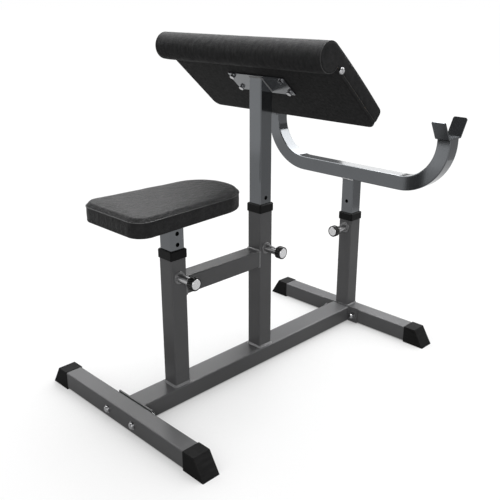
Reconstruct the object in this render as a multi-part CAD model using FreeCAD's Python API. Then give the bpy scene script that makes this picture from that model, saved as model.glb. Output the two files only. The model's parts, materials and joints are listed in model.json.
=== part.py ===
import FreeCAD, Part
import math
import os

# Preacher curl bench: a bolted steel frame on four feet, with a seat, an arm pad and a bar rest.
# Each of the three slides in its own post and is held by a sprung pull pin.
# Millimetres. +X runs along the beam from the seat to the bar rest, +Y to the user's left, +Z up.
# The origin is on the floor, in the middle of the overall box.

# Frame tubes
post_side = 50.0
post_wall = 1.5
post_corner = 4.0
beam_width = 70.0
beam_height = 50.0
beam_wall = 2.0
base_length = 980.0
crossbar_length = 570.0
seat_post_from_front = 196.0
arm_post_from_front = 522.0
tie_below_collar = 55.0
flange_margin = 16.0
flange_rise = 3.0
flange_thickness = 4.0
post_weld = 5.0
tie_weld = 3.0

# Sliding tubes and their holes
slide_gap = 1.0
slide_wall = 1.5
slide_corner = 3.0
slide_weld = 2.5
hole_diameter = 12.0
pin_play = 0.5
hole_pitch = 30.0
tube_tail = 25.0
seat_holes_above_count = 4
seat_holes_below_count = 4
arm_holes_above_count = 5
arm_holes_below_count = 1
rest_holes_above_count = 1
rest_holes_below_count = 5
rest_top_hole_count = 3

# Collars on the posts
collar_wall = 2.5
collar_height = 25.0
collar_cap = 3.0
collar_top_bevel = 2.5
collar_low_bevel = 1.2
sleeve_length = 30.0
slide_clearance = 0.3
seat_collar_top = 446.0
arm_collar_top = 503.0
rest_collar_top = 384.0

# Foot caps
foot_sole = 3.0
foot_wall = 1.5
foot_grip = 28.0
foot_top_reach = 10.5
foot_sole_reach = 44.0
foot_round = 2.0

# Bolts between the crossbars and the flange plates
bolt_diameter = 10.0
bolt_clearance = 0.5
thread_gap = 0.1
bolt_beside_beam = 20.0
bolt_head_diameter = 18.0
bolt_head_height = 6.0
washer_diameter = 22.0
washer_thickness = 2.0
nut_flats = 17.0
nut_height = 8.0
nut_dome_diameter = 15.0
nut_dome_height = 7.0
dome_round_share = 0.75

# Pull pins
seat_pin_below_collar = 33.5
arm_pin_below_collar = 90.5
rest_pin_below_collar = 8.5
pin_bite = 10.0
pin_chamfer = 1.5
pin_clearance = 0.3
shoulder_clearance = 0.5
shoulder_thickness = 4.0
shoulder_gap = 0.5
barrel_wall = 2.75
barrel_length = 48.0
barrel_end = 4.0
ring_lip = 6.5
ring_thickness = 2.5
ring_bevel = 1.0
knob_diameter = 36.0
knob_length = 18.0
knob_gap = 1.0
knob_grip = 12.0
knob_round = 2.0
flute_count = 16
flute_diameter = 4.0
badge_rim = 4.0
badge_thickness = 1.5
badge_recess = 1.0
badge_bevel = 0.5
spring_wire = 1.6
spring_turns = 8
spring_clearance = 0.4
spring_rod_gap = 0.75

# Seat
seat_length = 388.5
seat_back_width = 244.5
seat_front_width = 199.5
seat_back_corner = 42.0
seat_front_flat = 14.0
seat_forward = 3.5
seat_above_collar = 88.5
seat_wall = 39.0
seat_crown = 15.5
seat_side_bulge = 1.5
seat_board_thickness = 12.0
seat_board_inset = 10.0
seat_plate_length = 160.0
seat_plate_width = 120.0
seat_plate_thickness = 4.0
seat_plate_corner = 12.0
seat_screw_diameter = 8.0
seat_screw_cover = 2.0
seat_screw_end_margin = 20.0
seat_screw_side_margin = 18.0
screw_head_flats = 13.0
screw_head_height = 5.3
wall_height_shares = (0.0, 0.1, 0.32, 0.72, 0.95, 1.0)
wall_inset_shares = (1.6, 0.6, 0.0, 0.0, 0.4, 1.0)
crown_height_shares = (0.28, 0.58, 0.83, 0.95, 1.0)
crown_inset_shares = (0.09, 0.25, 0.5, 0.75, 0.96)

# Arm pad, in its own tilted frame: X down the slope, Z square to the face, origin on the roll's axis
roll_diameter = 77.5
roll_behind_post = 81.5
roll_height = 926.5
pad_tilt = 42.3
pad_length = 271.5
pad_width = 608.5
pad_corner = 22.0
pad_edge = 6.0
pad_lower_round = 10.0
pad_back_round = 4.0
pad_crown = 3.0
pad_seat_offset = 2.0
arm_board_thickness = 9.0
arm_board_gap = 0.5
arm_cover_thickness = 1.5
arm_cover_inset = 1.0
arm_plate_length = 71.0
arm_plate_width = 208.0
arm_plate_thickness = 4.0
arm_plate_corner = 4.0
arm_bolt_diameter = 8.0
arm_bolt_depth = 8.0
arm_bolt_end_margin = 11.25
arm_bolt_side_margin = 14.0
arm_washer_diameter = 16.0
arm_washer_thickness = 1.6
side_bolt_past_roll = 12.5
side_bolt_diameter = 6.0
side_bolt_depth = 22.0
side_bolt_head_diameter = 17.0
side_bolt_head_height = 6.0
corner_turns = (0.0, 35.0, 58.0, 72.0, 83.0, 90.0)

# Bar rest
yoke_half_width = 333.75
yoke_bend = 142.75
yoke_arm = 10.5
yoke_above_collar = 113.25
hook_thickness = 4.0
hook_base = 66.0
hook_height = 55.0
hook_lean = 30.0
hook_round = 6.0
hook_bend = 6.0

# How far every cut runs past the face it opens
overrun = 5.0

# Places that follow from the sizes above
quarter_turn = 90.0
slide_side = post_side - post_wall - post_wall - slide_gap - slide_gap
collar_side = post_side + collar_wall + collar_wall
bolt_spacing = beam_width + bolt_beside_beam + bolt_beside_beam
flange_width = bolt_spacing + flange_margin + flange_margin
flange_height = beam_height + flange_rise
pin_diameter = hole_diameter - pin_play - pin_play
spring_room = spring_rod_gap + spring_wire + spring_clearance
barrel_bore = pin_diameter + spring_room + spring_room
barrel_diameter = barrel_bore + barrel_wall + barrel_wall
ring_diameter = barrel_diameter + ring_lip + ring_lip
shoulder_diameter = barrel_bore - shoulder_clearance - shoulder_clearance
badge_diameter = knob_diameter - badge_rim - badge_rim
pin_drop = collar_height + ring_diameter / 2
seat_pin_height = seat_collar_top - pin_drop - seat_pin_below_collar
arm_pin_height = arm_collar_top - pin_drop - arm_pin_below_collar
rest_pin_height = rest_collar_top - pin_drop - rest_pin_below_collar
tie_bottom = seat_collar_top - collar_height - tie_below_collar - post_side
seat_underside = seat_collar_top + seat_above_collar + seat_plate_thickness
seat_slope = math.atan((seat_back_width - seat_front_width) / 2 / seat_length)
seat_front_half_angle = (math.pi / 2 + seat_slope) / 2
seat_front_corner = (seat_front_width - seat_front_flat) / 2 * math.tan(seat_front_half_angle)
seat_screw_depth = seat_board_thickness - seat_screw_cover
seat_screw_spacing_x = seat_plate_length - seat_screw_end_margin - seat_screw_end_margin
seat_screw_spacing_y = seat_plate_width - seat_screw_side_margin - seat_screw_side_margin
arm_bolt_spacing_x = arm_plate_length - arm_bolt_end_margin - arm_bolt_end_margin
arm_bolt_spacing_y = arm_plate_width - arm_bolt_side_margin - arm_bolt_side_margin
yoke_underside = rest_collar_top + yoke_above_collar
lean = math.radians(hook_lean)
hook_flange = (hook_height - hook_thickness * math.sin(lean)) / math.cos(lean)
hook_reach = hook_base / 2 + hook_flange * math.sin(lean)
front_reach = washer_thickness + bolt_head_height
rear_reach = hook_reach - post_side / 2
front_x = front_reach - (front_reach + base_length + rear_reach) / 2
rear_x = front_x + base_length
seat_x = front_x + seat_post_from_front
arm_x = front_x + arm_post_from_front
rest_x = rear_x - post_side / 2
bar_top = foot_sole + post_side
beam_top = foot_sole + beam_height
pin_gap = (post_side - slide_side) / 2
pin_tip = -pin_gap - pin_bite
knob_back = barrel_length + knob_gap
roll_radius = roll_diameter / 2
side_bolt_from_roll = roll_radius + side_bolt_past_roll
pad_half = pad_width / 2
pad_angle = math.radians(pad_tilt)
board_low = pad_seat_offset - arm_board_thickness
cover_low = board_low - arm_cover_thickness
plate_low = cover_low - arm_plate_thickness
plate_middle = (roll_behind_post - plate_low * math.sin(pad_angle)) / math.cos(pad_angle)
roll_place = FreeCAD.Vector(arm_x - roll_behind_post, 0, roll_height)
yoke_arm_top = yoke_underside + slide_side / 2 + yoke_bend + yoke_arm

# Directions in which a piece drawn along +Z is laid
UP = FreeCAD.Rotation()
TO_LEFT = FreeCAD.Rotation(FreeCAD.Vector(1, 0, 0), -quarter_turn)
TO_RIGHT = FreeCAD.Rotation(FreeCAD.Vector(1, 0, 0), quarter_turn)
TO_REAR = FreeCAD.Rotation(FreeCAD.Vector(0, 1, 0), quarter_turn)
TO_FRONT = FreeCAD.Rotation(FreeCAD.Vector(0, 1, 0), -quarter_turn)
PAD_TURN = FreeCAD.Rotation(FreeCAD.Vector(0, 1, 0), pad_tilt)


def vec(x, y, z):
    return FreeCAD.Vector(x, y, z)


def laid(shape, place, turn):
    """The shape, turned about its own origin and then carried to its place."""
    moved = shape.copy()
    moved.Placement = FreeCAD.Placement(place, turn)
    return moved


def on_pad(shape):
    """A shape drawn in the arm pad's frame, carried to the bench."""
    return laid(shape, roll_place, PAD_TURN)


def block(low, high):
    size = high - low
    return Part.makeBox(size.x, size.y, size.z, low)


def rod(diameter, low, high, x=0.0, y=0.0):
    """An upright round bar between two heights."""
    return Part.makeCylinder(diameter / 2, high - low, vec(x, y, low))


def rounded_outline(corners, radii, height):
    """A closed outline of lines and arcs through flat corners, each with its own radius."""
    starts = []
    arcs = []
    count = len(corners)
    for index in range(count):
        point = vec(corners[index][0], corners[index][1], height)
        before = vec(corners[index - 1][0], corners[index - 1][1], height) - point
        after = vec(corners[(index + 1) % count][0], corners[(index + 1) % count][1], height) - point
        before.normalize()
        after.normalize()
        half = before.getAngle(after) / 2
        toward = before + after
        toward.normalize()
        reach = radii[index] / math.tan(half)
        middle = point + toward * (radii[index] / math.sin(half) - radii[index])
        starts.append(point + before * reach)
        arcs.append(Part.Arc(point + before * reach, middle, point + after * reach))
    edges = []
    for index in range(count):
        edges.append(arcs[index].toShape())
        edges.append(Part.LineSegment(arcs[index].EndPoint, starts[(index + 1) % count]).toShape())
    return Part.Wire(edges)


def rectangle_outline(length, width, radius, height=0.0):
    corners = []
    for side_x, side_y in ((-1, -1), (1, -1), (1, 1), (-1, 1)):
        corners.append((side_x * length / 2, side_y * width / 2))
    return rounded_outline(corners, (radius,) * len(corners), height)


def bar(length_x, width_y, radius, low, high):
    """An upright solid bar of rounded rectangular section."""
    outline = rectangle_outline(length_x, width_y, radius, low)
    return Part.Face(outline).extrude(vec(0, 0, high - low))


def tube(length_x, width_y, radius, wall, low, high):
    """An upright tube of rounded rectangular section."""
    inner = radius - wall
    hollow = bar(length_x - wall - wall, width_y - wall - wall, inner, low - overrun, high + overrun)
    return bar(length_x, width_y, radius, low, high).cut(hollow)


def edges_at_height(shape, height):
    """The edges of a shape that lie in one level plane."""
    nearness = overrun / 1000
    chosen = []
    for edge in shape.Edges:
        if max(abs(vertex.Point.z - height) for vertex in edge.Vertexes) < nearness:
            chosen.append(edge)
    return chosen


def domed_rod(diameter, low, high):
    """An upright round bar with its top edge rounded over."""
    plain = rod(diameter, low, high)
    return plain.makeFillet(dome_round_share * (high - low), edges_at_height(plain, high))


def hexagon_bar(flats, low, high):
    corner = flats / 2 / math.cos(math.pi / 6)
    points = []
    for index in range(7):
        angle = index * math.pi / 3
        points.append(vec(corner * math.cos(angle), corner * math.sin(angle), low))
    return Part.Face(Part.makePolygon(points)).extrude(vec(0, 0, high - low))


def weld_ring(length_x, width_y, radius, bead):
    """A bead of diamond section round a tube, at height zero; what it is welded to is cut away later."""
    low = rectangle_outline(length_x, width_y, radius, -bead)
    middle = rectangle_outline(length_x + bead + bead, width_y + bead + bead, radius + bead)
    high = rectangle_outline(length_x, width_y, radius, bead)
    ring = Part.makeLoft([low, middle, high], True, True)
    return ring.cut(bar(length_x, width_y, radius, -bead - overrun, bead + overrun))


# Base frame

def pin_hole(place, turn):
    """A hole through one wall of a post or sliding tube, for the pin that is laid at that place."""
    return laid(rod(hole_diameter, -pin_gap - slide_wall - overrun, overrun), place, turn)


def seat_pin_place():
    return vec(seat_x, -post_side / 2, seat_pin_height)


def arm_pin_place():
    return vec(arm_x, -post_side / 2, arm_pin_height)


def rest_pin_place():
    return vec(rest_x - post_side / 2, 0, rest_pin_height)


def crossbar_bolt_places():
    """Left and right bolt of a crossbar, as sideways offsets."""
    return (-bolt_spacing / 2, bolt_spacing / 2)


def main_beam():
    low = front_x + post_side + flange_thickness
    high = rear_x - post_side - flange_thickness
    drawn = tube(beam_height, beam_width, post_corner, beam_wall, low, high)
    return laid(drawn, vec(0, 0, foot_sole + beam_height / 2), TO_REAR)


def bolt_hole(x, y):
    hole = rod(bolt_diameter + bolt_clearance + bolt_clearance, -post_side, post_side)
    return laid(hole, vec(x, y, foot_sole + post_side / 2), TO_REAR)


def flange_plate(low_x):
    plate = block(
        vec(low_x, -flange_width / 2, foot_sole),
        vec(low_x + flange_thickness, flange_width / 2, foot_sole + flange_height),
    )
    for y in crossbar_bolt_places():
        plate = plate.cut(bolt_hole(low_x, y))
    return plate


def front_flange_plate():
    return flange_plate(front_x + post_side)


def rear_flange_plate():
    return flange_plate(rear_x - post_side - flange_thickness)


def crossbar(middle_x):
    drawn = tube(post_side, post_side, post_corner, post_wall, -crossbar_length / 2, crossbar_length / 2)
    shape = laid(drawn, vec(middle_x, 0, foot_sole + post_side / 2), TO_LEFT)
    for y in crossbar_bolt_places():
        shape = shape.cut(bolt_hole(middle_x, y))
    return shape


def front_crossbar():
    return crossbar(front_x + post_side / 2)


def rear_crossbar():
    return crossbar(rear_x - post_side / 2)


def post(x, low, collar_top):
    drawn = tube(post_side, post_side, post_corner, post_wall, low, collar_top - collar_cap)
    return laid(drawn, vec(x, 0, 0), UP)


def seat_post():
    return post(seat_x, beam_top, seat_collar_top).cut(pin_hole(seat_pin_place(), TO_RIGHT))


def arm_post():
    return post(arm_x, beam_top, arm_collar_top).cut(pin_hole(arm_pin_place(), TO_RIGHT))


def rest_post():
    return post(rest_x, bar_top, rest_collar_top).cut(pin_hole(rest_pin_place(), TO_FRONT))


def tie_tube():
    low = seat_x + post_side / 2
    high = arm_x - post_side / 2
    drawn = tube(post_side, post_side, post_corner, post_wall, low, high)
    return laid(drawn, vec(0, 0, tie_bottom + post_side / 2), TO_REAR)


def frame_welds():
    """Beads round the posts where they stand, and round the ends of the tie tube."""
    post_bead = weld_ring(post_side, post_side, post_corner, post_weld)
    tie_bead = weld_ring(post_side, post_side, post_corner, tie_weld)
    beam_filled = laid(
        bar(beam_height, beam_width, post_corner, front_x, rear_x),
        vec(0, 0, foot_sole + beam_height / 2),
        TO_REAR,
    )
    bar_filled = laid(
        bar(post_side, post_side, post_corner, -crossbar_length / 2, crossbar_length / 2),
        vec(rest_x, 0, foot_sole + post_side / 2),
        TO_LEFT,
    )
    beads = []
    for x in (seat_x, arm_x):
        beads.append(laid(post_bead, vec(x, 0, beam_top), UP).cut(beam_filled))
    rest_bead = laid(tie_bead, vec(rest_x, 0, bar_top), UP)
    beads.append(rest_bead.cut(bar_filled).cut(rear_flange_plate()))
    for post_x, side in ((seat_x, 1), (arm_x, -1)):
        filled = laid(bar(post_side, post_side, post_corner, 0, arm_collar_top), vec(post_x, 0, 0), UP)
        place = vec(post_x + side * post_side / 2, 0, tie_bottom + post_side / 2)
        beads.append(laid(tie_bead, place, TO_REAR).cut(filled))
    solids = []
    for bead in beads:
        solids.extend(bead.Solids)
    return Part.makeCompound(solids)


def foot_cap(bar_middle_x, side):
    """A cap over one end of a crossbar, cut on a slant at its outer end."""
    tube_end = crossbar_length / 2
    top = bar_top + foot_wall
    half_width = post_side / 2 + foot_wall
    profile = [
        vec(-half_width, tube_end - foot_grip, 0),
        vec(-half_width, tube_end + foot_sole_reach, 0),
        vec(-half_width, tube_end + foot_top_reach, top),
        vec(-half_width, tube_end - foot_grip, top),
    ]
    outer = Part.Face(Part.makePolygon(profile + profile[:1])).extrude(vec(half_width + half_width, 0, 0))
    nearness = overrun / 1000
    rounded = []
    for edge in outer.Edges:
        at_mouth = max(abs(vertex.Point.y - tube_end + foot_grip) for vertex in edge.Vertexes) < nearness
        at_floor = max(vertex.Point.z for vertex in edge.Vertexes) < nearness
        if not at_mouth and not at_floor:
            rounded.append(edge)
    outer = outer.makeFillet(foot_round, rounded)
    drawn = bar(post_side, post_side, post_corner, tube_end - foot_grip - overrun, tube_end)
    pocket = laid(drawn, vec(0, 0, foot_sole + post_side / 2), TO_LEFT)
    cap = outer.cut(pocket)
    if side < 0:
        cap = cap.mirror(vec(0, 0, 0), vec(0, 1, 0))
    return laid(cap, vec(bar_middle_x, 0, 0), UP)


def foot_cap_front_left():
    return foot_cap(front_x + post_side / 2, 1)


def foot_cap_front_right():
    return foot_cap(front_x + post_side / 2, -1)


def foot_cap_rear_left():
    return foot_cap(rest_x, 1)


def foot_cap_rear_right():
    return foot_cap(rest_x, -1)


# Collars, drawn with their top at height zero

def collar(x, top):
    outer = bar(collar_side, collar_side, post_corner, -collar_height, 0)
    outer = outer.makeChamfer(collar_top_bevel, edges_at_height(outer, 0))
    outer = outer.makeChamfer(collar_low_bevel, edges_at_height(outer, -collar_height))
    over_post = bar(post_side, post_side, post_corner, -collar_height - overrun, -collar_cap)
    bore = post_side - post_wall - post_wall
    sleeve = bar(bore, bore, post_corner - post_wall, -collar_cap - sleeve_length, -collar_cap)
    opening = slide_side + slide_clearance + slide_clearance
    way = bar(
        opening,
        opening,
        slide_corner + slide_clearance,
        -collar_cap - sleeve_length - overrun,
        overrun,
    )
    shape = outer.cut(over_post).fuse(sleeve).cut(way)
    return laid(shape.removeSplitter(), vec(x, 0, top), UP)


def seat_collar():
    return collar(seat_x, seat_collar_top)


def arm_collar():
    return collar(arm_x, arm_collar_top)


def rest_collar():
    return collar(rest_x, rest_collar_top)


# Crossbar bolts, drawn along +Z from the outer face of the crossbar inwards

def at_crossbar_bolts(drawn):
    """One copy of a drawn shape at each of the four bolts, pointing inwards from the outer face."""
    copies = []
    for face_x, turn in ((front_x, TO_REAR), (rear_x, TO_FRONT)):
        for y in crossbar_bolt_places():
            copies.extend(laid(drawn, vec(face_x, y, foot_sole + post_side / 2), turn).Solids)
    return Part.makeCompound(copies)


def clamp_length():
    return post_side + flange_thickness + washer_thickness


def crossbar_bolts():
    head = domed_rod(bolt_head_diameter, 0, bolt_head_height)
    turned = FreeCAD.Rotation(vec(1, 0, 0), quarter_turn + quarter_turn)
    head = laid(head, vec(0, 0, -washer_thickness), turned)
    shank = rod(bolt_diameter, -washer_thickness, clamp_length() + nut_height)
    return at_crossbar_bolts(head.fuse(shank))


def washer(diameter, hole, low, high):
    return rod(diameter, low, high).cut(rod(hole, low - overrun, high + overrun))


def crossbar_washers():
    hole = bolt_diameter + bolt_clearance + bolt_clearance
    outside = washer(washer_diameter, hole, -washer_thickness, 0)
    inside = washer(washer_diameter, hole, clamp_length() - washer_thickness, clamp_length())
    return at_crossbar_bolts(Part.makeCompound([outside, inside]))


def crossbar_nuts():
    low = clamp_length()
    high = low + nut_height
    dome = domed_rod(nut_dome_diameter, high, high + nut_dome_height)
    bore = rod(bolt_diameter + thread_gap + thread_gap, low - overrun, high + thread_gap)
    return at_crossbar_bolts(hexagon_bar(nut_flats, low, high).fuse(dome).cut(bore))


# Pull pins, drawn along +Z outwards from the face of the post

def pin_barrel():
    ring = rod(ring_diameter, 0, ring_thickness)
    ring = ring.makeChamfer(ring_bevel, edges_at_height(ring, ring_thickness))
    body = rod(barrel_diameter, 0, barrel_length)
    chamber = rod(barrel_bore, -overrun, barrel_length - barrel_end)
    way = rod(pin_diameter + pin_clearance + pin_clearance, 0, barrel_length + overrun)
    return ring.fuse(body).cut(chamber).cut(way)


def pin_plunger():
    shank = rod(pin_diameter, pin_tip, knob_back + knob_grip)
    shank = shank.makeChamfer(pin_chamfer, edges_at_height(shank, pin_tip))
    return shank.fuse(rod(shoulder_diameter, shoulder_gap, shoulder_gap + shoulder_thickness))


def pin_knob():
    front = knob_back + knob_length
    body = rod(knob_diameter, knob_back, front)
    body = body.makeFillet(knob_round, edges_at_height(body, front) + edges_at_height(body, knob_back))
    for index in range(flute_count):
        angle = 2 * math.pi * index / flute_count
        x = knob_diameter / 2 * math.cos(angle)
        y = knob_diameter / 2 * math.sin(angle)
        body = body.cut(rod(flute_diameter, knob_back - overrun, front - knob_round, x, y))
    seat = rod(badge_diameter, front - badge_recess, front + overrun)
    socket = rod(pin_diameter + thread_gap + thread_gap, knob_back - overrun, knob_back + knob_grip)
    return body.cut(seat).cut(socket)


def pin_badge():
    low = knob_back + knob_length - badge_recess
    disc = rod(badge_diameter - thread_gap - thread_gap, low, low + badge_thickness)
    return disc.makeChamfer(badge_bevel, edges_at_height(disc, low + badge_thickness))


def spring_points():
    """Points of the spring's middle line, eight to a turn, from the shoulder to the barrel's end."""
    per_turn = 8
    radius = (barrel_bore - spring_wire) / 2 - spring_clearance
    low = shoulder_gap + shoulder_thickness + spring_wire / 2
    high = barrel_length - barrel_end - spring_wire / 2
    points = []
    for index in range(spring_turns * per_turn + 1):
        angle = 2 * math.pi * index / per_turn
        rise = (high - low) * index / (spring_turns * per_turn)
        points.append(vec(radius * math.cos(angle), radius * math.sin(angle), low + rise))
    return points


def pin_spring():
    points = spring_points()
    edges = []
    for index in range(0, len(points) - 2, 2):
        edges.append(Part.Arc(points[index], points[index + 1], points[index + 2]).toShape())
    path = Part.Wire(edges)
    start = path.Edges[0]
    section = Part.Circle(points[0], start.tangentAt(start.FirstParameter), spring_wire / 2)
    return path.makePipeShell([Part.Wire(section.toShape())], True, False)


def pin_pieces(name, place, turn):
    """The five pieces of one pull pin, by node name."""
    return {
        name + "_pin_barrel": laid(pin_barrel(), place, turn),
        name + "_pin_spring": laid(pin_spring(), place, turn),
        name + "_pin_plunger": laid(pin_plunger(), place, turn),
        name + "_pin_knob": laid(pin_knob(), place, turn),
        name + "_pin_badge": laid(pin_badge(), place, turn),
    }


# Sliding tubes

def slide_tube(x, pin_height, holes_below, top):
    """A sliding tube, standing in its post, from its tail below the lowest hole up to its top."""
    low = pin_height - holes_below * hole_pitch - tube_tail
    drawn = tube(slide_side, slide_side, slide_corner, slide_wall, low, top)
    return laid(drawn, vec(x, 0, 0), UP)


def with_holes(shape, place, turn, holes_below, holes_above):
    for index in range(-holes_below, holes_above + 1):
        shape = shape.cut(pin_hole(place + vec(0, 0, index * hole_pitch), turn))
    return shape


# Seat

def seat_tube():
    top = seat_underside - seat_plate_thickness
    plain = slide_tube(seat_x, seat_pin_height, seat_holes_below_count, top)
    return with_holes(plain, seat_pin_place(), TO_RIGHT, seat_holes_below_count, seat_holes_above_count)


def seat_screw_places():
    places = []
    for side_x in (-1, 1):
        for side_y in (-1, 1):
            places.append((side_x * seat_screw_spacing_x / 2, side_y * seat_screw_spacing_y / 2))
    return places


def seat_plate():
    low = -seat_plate_thickness
    plate = bar(seat_plate_length, seat_plate_width, seat_plate_corner, low, 0)
    hole = seat_screw_diameter + bolt_clearance + bolt_clearance
    for x, y in seat_screw_places():
        plate = plate.cut(rod(hole, low - overrun, overrun, x, y))
    return laid(plate, vec(seat_x, 0, seat_underside), UP)


def seat_weld():
    bead = weld_ring(slide_side, slide_side, slide_corner, slide_weld)
    above = bar(seat_plate_length, seat_plate_width, seat_plate_corner, 0, overrun + slide_weld)
    place = vec(seat_x, 0, seat_underside - seat_plate_thickness)
    return laid(bead.cut(above), place, UP)


def seat_outline(inset, height):
    """The seat seen from above, drawn in by an inset, wide behind and round in front."""
    back = -seat_length / 2 + inset
    front = seat_length / 2 - inset
    square = inset / math.cos(seat_slope)
    along = inset * math.tan(seat_slope)
    back_half = seat_back_width / 2 - square + along
    front_half = seat_front_width / 2 - square - along
    corners = [(back, -back_half), (front, -front_half), (front, front_half), (back, back_half)]
    back_corner = seat_back_corner - inset
    front_corner = seat_front_corner - inset
    return rounded_outline(corners, (back_corner, front_corner, front_corner, back_corner), height)


def seat_board_blank(extra):
    outline = seat_outline(seat_board_inset, -extra)
    return Part.Face(outline).extrude(vec(0, 0, seat_board_thickness + extra))


def seat_board():
    board = seat_board_blank(0)
    hole = seat_screw_diameter + thread_gap + thread_gap
    for x, y in seat_screw_places():
        board = board.cut(rod(hole, -overrun, seat_screw_depth + thread_gap, x - seat_forward, y))
    return laid(board, vec(seat_x + seat_forward, 0, seat_underside), UP)


def seat_cushion():
    """A crowned pad over the board: a wall, a seam drawn in at its top, and a rounded crown."""
    sections = []
    for height_share, inset_share in zip(wall_height_shares, wall_inset_shares):
        sections.append(seat_outline(inset_share * seat_side_bulge, height_share * seat_wall))
    for height_share, inset_share in zip(crown_height_shares, crown_inset_shares):
        inset = seat_side_bulge + inset_share * (seat_back_corner - seat_side_bulge)
        sections.append(seat_outline(inset, seat_wall + height_share * seat_crown))
    pad = Part.makeLoft(sections, True, True)
    return laid(pad.cut(seat_board_blank(overrun)), vec(seat_x + seat_forward, 0, seat_underside), UP)


def seat_screws():
    low = -seat_plate_thickness
    head = hexagon_bar(screw_head_flats, low - screw_head_height, low)
    screw = head.fuse(rod(seat_screw_diameter, low, seat_screw_depth))
    copies = []
    for x, y in seat_screw_places():
        copies.append(laid(screw, vec(seat_x + x, y, seat_underside), UP))
    return Part.makeCompound(copies)


# Arm pad

def arm_tube():
    """The arm pad's tube, cut on a slant where the plate is welded to it."""
    plain = slide_tube(arm_x, arm_pin_height, arm_holes_below_count, roll_height)
    above = block(
        vec(-roll_diameter, -slide_side, plate_low),
        vec(pad_length, slide_side, plate_low + pad_length),
    )
    shape = plain.cut(on_pad(above))
    return with_holes(shape, arm_pin_place(), TO_RIGHT, arm_holes_below_count, arm_holes_above_count)


def arm_bolt_places():
    places = []
    for side_x in (-1, 1):
        for side_y in (-1, 1):
            places.append((plate_middle + side_x * arm_bolt_spacing_x / 2, side_y * arm_bolt_spacing_y / 2))
    return places


def arm_plate():
    plate = bar(arm_plate_length, arm_plate_width, arm_plate_corner, plate_low, cover_low)
    plate.translate(vec(plate_middle, 0, 0))
    hole = arm_bolt_diameter + bolt_clearance + bolt_clearance
    for x, y in arm_bolt_places():
        plate = plate.cut(rod(hole, plate_low - overrun, cover_low + overrun, x, y))
    return on_pad(plate)


def arm_weld():
    """The bead round the slanted top of the arm pad's tube, under the plate."""
    length = slide_side / math.cos(pad_angle)
    drop = slide_weld + slide_weld
    top = rectangle_outline(length + drop, slide_side + drop, slide_corner + slide_weld, plate_low)
    low = rectangle_outline(length - drop, slide_side - drop, slide_corner, plate_low - drop)
    top.translate(vec(plate_middle, 0, 0))
    low.translate(vec(plate_middle + drop * math.tan(pad_angle), 0, 0))
    filled = laid(bar(slide_side, slide_side, slide_corner, 0, roll_height), vec(arm_x, 0, 0), UP)
    return on_pad(Part.makeLoft([top, low], True, True)).cut(filled)


def pad_outline(start, inset, height):
    """The flat part of the arm pad seen square to its face, with round lower corners."""
    half = pad_half - inset
    end = pad_length - inset
    corners = [(start, -half), (end, -half), (end, half), (start, half)]
    return rounded_outline(corners, (pad_back_round, pad_corner, pad_corner, pad_back_round), height)


def arm_board_start():
    return roll_radius + arm_board_gap + arm_cover_thickness


def arm_board():
    outline = pad_outline(arm_board_start(), arm_cover_inset + arm_cover_thickness, board_low)
    board = Part.Face(outline).extrude(vec(0, 0, arm_board_thickness))
    hole = arm_bolt_diameter + thread_gap + thread_gap
    for x, y in arm_bolt_places():
        board = board.cut(rod(hole, board_low - overrun, cover_low + arm_bolt_depth + thread_gap, x, y))
    return on_pad(board.cut(side_bolt_holes()))


def arm_back_cover():
    """The cover stretched over the back and the edges of the board."""
    outer = pad_outline(roll_radius + arm_board_gap, arm_cover_inset, cover_low)
    inner = pad_outline(arm_board_start(), arm_cover_inset + arm_cover_thickness, board_low)
    full = Part.Face(outer).extrude(vec(0, 0, arm_cover_thickness + arm_board_thickness))
    full = full.makeFillet(arm_cover_thickness, edges_at_height(full, cover_low))
    cover = full.cut(Part.Face(inner).extrude(vec(0, 0, arm_board_thickness + overrun)))
    hole = arm_bolt_diameter + bolt_clearance + bolt_clearance
    for x, y in arm_bolt_places():
        cover = cover.cut(rod(hole, cover_low - overrun, board_low + overrun, x, y))
    return on_pad(cover.cut(side_bolt_holes()))


def pad_section(y, end, inset):
    """One slice of the arm cushion: a round roll that runs into the flat, crowned face."""
    radius = roll_radius - inset
    low = pad_seat_offset
    face_end = end - pad_lower_round
    reach = math.sqrt(radius * radius - low * low)
    slant = math.sqrt(0.5)
    lower_middle = vec(face_end + slant * pad_lower_round, y, radius - (1 - slant) * pad_lower_round)
    back_middle = vec(end - (1 - slant) * pad_back_round, y, low + (1 - slant) * pad_back_round)
    face_start = vec(0, y, radius)
    lower_start = vec(face_end, y, radius)
    lower_end = vec(end, y, radius - pad_lower_round)
    back_start = vec(end, y, low + pad_back_round)
    back_end = vec(end - pad_back_round, y, low)
    roll_start = vec(reach, y, low)
    edges = [
        Part.Arc(face_start, vec(face_end / 2, y, radius + pad_crown), lower_start),
        Part.Arc(lower_start, lower_middle, lower_end),
        Part.LineSegment(lower_end, back_start),
        Part.Arc(back_start, back_middle, back_end),
        Part.LineSegment(back_end, roll_start),
        Part.Arc(roll_start, vec(slant * radius, y, -slant * radius), vec(0, y, -radius)),
        Part.Arc(vec(0, y, -radius), vec(-slant * radius, y, -slant * radius), vec(-radius, y, 0)),
        Part.Arc(vec(-radius, y, 0), vec(-slant * radius, y, slant * radius), face_start),
    ]
    return Part.Wire([edge.toShape() for edge in edges])


def pad_station(turn):
    """Where a slice stands on the round lower corner: its distance out, lower end and drawn-in edge."""
    out = pad_half - pad_corner + pad_corner * math.sin(turn)
    end = pad_length - pad_corner + pad_corner * math.cos(turn)
    past = max(0.0, out - pad_half + pad_edge)
    inset = pad_edge - math.sqrt(max(0.0, pad_edge * pad_edge - past * past))
    return out, end, inset


def arm_cushion():
    stations = [pad_station(math.radians(turn)) for turn in corner_turns]
    sections = [pad_section(-out, end, inset) for out, end, inset in reversed(stations)]
    sections += [pad_section(out, end, inset) for out, end, inset in stations]
    return on_pad(Part.makeLoft(sections, True, True).cut(side_bolt_holes()))


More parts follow.
